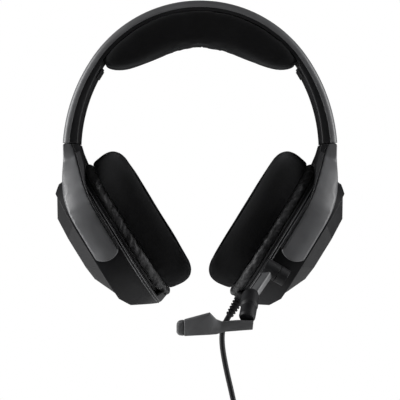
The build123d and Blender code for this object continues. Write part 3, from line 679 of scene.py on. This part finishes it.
def add_headband_pad(materials):
    """Foam pad in one cloth cover: remeshed, blown up a little as cloth, then given a little slack below its top.
    """
    source = frame["nodes"]["headband_pad"]
    piece = new_object("headband_cushion", source.data.copy(), materials["pad_cloth"])
    bpy.context.view_layer.objects.active = piece
    remesh = piece.modifiers.new("remesh", "REMESH")
    remesh.mode = "VOXEL"
    remesh.voxel_size = HEAD_VOXEL
    shrink = piece.modifiers.new("relax", "SMOOTH")
    shrink.iterations = 6
    graph = bpy.context.evaluated_depsgraph_get()
    mesh = bpy.data.meshes.new_from_object(piece.evaluated_get(graph))
    piece.modifiers.clear()
    piece.data = mesh
    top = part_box("headband_pad")[1].z
    pinned = {}
    for vertex in mesh.vertices:
        if vertex.normal.z > 0.45 and vertex.co.z > -0.012:
            pinned[vertex.index] = 1.0
    puff(mesh, pinned, HEAD_PRESSURE, HEAD_CAP)
    for vertex in mesh.vertices:
        slack = noise.noise(vertex.co * 42.0) + 0.4 * noise.noise(vertex.co * 110.0)
        vertex.co += vertex.normal * 0.00045 * slack
        vertex.co.z = min(vertex.co.z, top)
    piece.data.materials.clear()
    piece.data.materials.append(materials["pad_cloth"])
    smooth(piece)
    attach(piece, "band")
    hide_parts("headband_pad")


# ---------------------------------------------------------------- cable

def lead_points():
    """The lead's route from the strain relief to the coil."""
    start = CUP_PLACE @ Vector((-0.0134, -0.0100, -0.0660))
    first = CUP_PLACE @ Vector((-0.0134, -0.0100, -0.0723))
    return [start, first, Vector((0.0149, -0.0102, -0.1983)), Vector((0.0152, -0.0106, -0.2086)),
            Vector((0.0182, -0.0113, -0.2245)), Vector((0.0222, -0.0118, -0.2413)),
            Vector((0.0252, -0.0121, -0.2562)), Vector((0.0255, -0.0120, -0.2660))]


def coil_points():
    """Turns of the tied coil: a spiral in at the front, then three layers wound from side to side."""
    inner = COIL_MID_RADIUS - COIL_PITCH
    outer = COIL_MID_RADIUS + COIL_PITCH
    front = -1.875 * COIL_PITCH
    back = 1.875 * COIL_PITCH
    second = front + COIL_PITCH
    legs = [(0.75, inner, front), (0.5, inner, second), (2.75, inner, back), (0.25, COIL_MID_RADIUS, back),
            (2.75, COIL_MID_RADIUS, second), (0.25, outer, second), (2.75, outer, back)]
    turn, radius, depth = 0.0, COIL_MID_RADIUS, front
    points = []
    for turns, end_radius, end_depth in legs:
        steps = round(turns * COIL_STEPS)
        for step in range(1, steps + 1):
            share = step / steps
            angle = -2 * math.pi * (turn + turns * share)
            r = radius + (end_radius - radius) * share
            y = depth + (end_depth - depth) * share
            points.append(COIL_CENTRE + Vector((r * math.cos(angle), y, r * math.sin(angle))))
        turn += turns
        radius, depth = end_radius, end_depth
    return points


def tail_points():
    """The tail's route from the coil to the plug."""
    return [Vector((0.0294, 0.0026, -0.2910)), Vector((0.0298, 0.0027, -0.3026)),
            Vector((0.0289, 0.0026, -0.3145)), Vector((0.0289, 0.0026, -0.3250))]


def add_cable(materials):
    """One NURBS line: the lead, the coil's turns and the tail."""
    points = lead_points() + coil_points() + tail_points()
    curve = bpy.data.curves.new("cable", "CURVE")
    curve.dimensions = "3D"
    spline = curve.splines.new("NURBS")
    spline.points.add(len(points) - 1)
    for target, place in zip(spline.points, points):
        target.co = (*place, 1.0)
    spline.order_u = 3
    spline.use_endpoint_u = True
    spline.resolution_u = 6
    curve.bevel_depth = CABLE_DIAMETER / 2
    curve.bevel_resolution = 5
    curve.use_fill_caps = True
    cable = bpy.data.objects.new("cable", curve)
    bpy.context.scene.collection.objects.link(cable)
    curve.materials.append(materials["cable_jacket"])
    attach(cable, "left_cup")
    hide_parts("cable_lead", "cable_coil", "cable_tail")


# ---------------------------------------------------------------- rubber parts

def lathe(name, profile, place, material, around=40):
    """Closed round piece about a local z axis from (radius, z) points, put in place by a matrix."""
    mesh = bpy.data.meshes.new(name)
    verts = []
    for step in range(around):
        turn = 2 * math.pi * step / around
        verts += [(radius * math.cos(turn), radius * math.sin(turn), z) for radius, z in profile]
    count = len(profile)
    faces = []
    for step in range(around):
        for index in range(count - 1):
            a = step * count + index
            b = ((step + 1) % around) * count + index
            faces.append((a, b, b + 1, a + 1))
    faces.append([step * count for step in reversed(range(around))])
    faces.append([step * count + count - 1 for step in range(around)])
    mesh.from_pydata(verts, [], faces)
    mesh.transform(place)
    mesh.update()
    fix_normals(mesh)
    piece = new_object(name, mesh, material)
    smooth(piece, 40)
    return piece


RELIEF_PLACE = CUP_PLACE @ Matrix.Translation((-0.0134, -0.0100, -0.0522))


def relief_profile():
    """Tapered sleeve with five collars, from its root to its tip."""
    profile = [(0.0035, 0.0), (0.0035, -0.0022)]
    for step in range(5):
        top = -0.0024 - 0.0022 * step
        radius = 0.00345 - 0.00017 * step
        neck = radius - 0.0007
        profile += [(neck, top), (neck, top - 0.0007), (radius, top - 0.0009), (radius - 0.00008, top - 0.0021)]
    return profile + [(0.0023, -0.0136), (0.0022, -0.0138)]


def add_strain_relief(materials):
    piece = lathe("relief_sleeve", relief_profile(), RELIEF_PLACE, materials["rubber_black"])
    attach(piece, "left_cup")
    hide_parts("strain_relief")
    return piece


FLEX_POINTS = [Vector((0.0328, -0.0670, -0.1685)), Vector((0.0314, -0.0780, -0.1760)),
               Vector((0.0297, -0.0860, -0.1828))]


def arc_through(points, share):
    """Point of the parabola through three points, at a share of its length."""
    a, b, c = points
    return a * (1 - share) * (1 - 2 * share) + b * 4 * share * (1 - share) + c * share * (2 * share - 1)


def flex_radius(share):
    """Thick sleeve, a crease, then the narrower socket of the microphone."""
    crease = math.exp(-((share - 0.52) / 0.035) ** 2)
    body = 0.0057 if share < 0.52 else 0.0053
    rounding = 0.0009 * max(0.0, 1 - share / 0.08) + 0.0008 * max(0.0, 1 - (1 - share) / 0.08)
    return body - 0.0009 * crease - rounding


def add_boom_flex(materials):
    around, along = 40, 60
    mesh = bpy.data.meshes.new("flex_sleeve")
    verts, faces = [], []
    for step in range(along + 1):
        share = step / along
        here = arc_through(FLEX_POINTS, share)
        ahead = (arc_through(FLEX_POINTS, share + 0.01) - arc_through(FLEX_POINTS, share - 0.01)).normalized()
        across = ahead.cross(Vector((0, 0, 1))).normalized()
        up = across.cross(ahead)
        radius = flex_radius(share)
        for turn in range(around):
            angle = 2 * math.pi * turn / around
            verts.append(here + (across * math.cos(angle) + up * math.sin(angle)) * radius)
    for step in range(along):
        for turn in range(around):
            a = step * around + turn
            b = step * around + (turn + 1) % around
            faces.append((a, b, b + around, a + around))
    faces.append(list(range(around)))
    faces.append(list(range(along * around, (along + 1) * around)))
    mesh.from_pydata(verts, [], faces)
    fix_normals(mesh)
    piece = new_object("flex_sleeve", mesh, materials["rubber_black"])
    smooth(piece, 50)
    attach(piece, "mic_boom")
    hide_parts("boom_flex")


# ---------------------------------------------------------------- microphone and boom

MIC_JOINT_PLACE = (-0.0103, -0.0870, -0.18855)
MIC_JOINT_SIZE = (0.0034, 0.0112, 0.0086)


def bevelled(node, body, material, width, segments=3, angle=28):
    """Copy of a hard CAD node with real rounded edges, standing for the node."""
    work = bmesh.new()
    work.from_mesh(frame["nodes"][node].data)
    bmesh.ops.remove_doubles(work, verts=work.verts, dist=0.000002)
    bmesh.ops.dissolve_limit(work, angle_limit=math.radians(1.0), verts=work.verts, edges=work.edges)
    mesh = bpy.data.meshes.new(node + "_bevelled")
    work.to_mesh(mesh)
    work.free()
    piece = new_object(node + "_bevelled", mesh, material)
    bevel = piece.modifiers.new("bevel", "BEVEL")
    bevel.width = width
    bevel.segments = segments
    bevel.limit_method = "ANGLE"
    bevel.angle_limit = math.radians(angle)
    graph = bpy.context.evaluated_depsgraph_get()
    baked = bpy.data.meshes.new_from_object(piece.evaluated_get(graph))
    piece.modifiers.clear()
    piece.data = baked
    smooth(piece, 40)
    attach(piece, body)
    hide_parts(node)
    return piece


def add_mic_joint(materials):
    """Tongue of the end cap, seen in the joint between cap and body."""
    mesh = bpy.data.meshes.new("mic_joint")
    work = bmesh.new()
    bmesh.ops.create_cube(work, size=1.0)
    work.to_mesh(mesh)
    work.free()
    mesh.transform(Matrix.Translation(MIC_JOINT_PLACE) @ Matrix.Diagonal((*MIC_JOINT_SIZE, 1.0)))
    piece = new_object("mic_joint", mesh, materials["boom_grey"])
    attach(piece, "mic_boom")


def add_microphone(materials):
    add_mic_joint(materials)
    for node in ("mic_front", "mic_back"):
        bevelled(node, "mic_boom", materials["boom_grey"], 0.0011)
    bevelled("mic_end_cap", "mic_boom", materials["boom_grey"], 0.0008)
    bevelled("boom_arm", "mic_boom", materials["boom_grey"], 0.0004)


# ---------------------------------------------------------------- build

add_camera()
add_world()
add_lights()
add_floor()
bpy.context.scene.view_settings.view_transform = "Standard"
MATERIALS = make_materials()
RELIEF = add_strain_relief(MATERIALS)
add_cable(MATERIALS)
dress_cad_nodes(MATERIALS)
add_ear_cushions(MATERIALS)
add_skirts(MATERIALS)
add_rim_highlight_beads(MATERIALS)
add_headband_pad(MATERIALS)
add_yokes(MATERIALS)
add_boom_flex(MATERIALS)
add_microphone(MATERIALS)
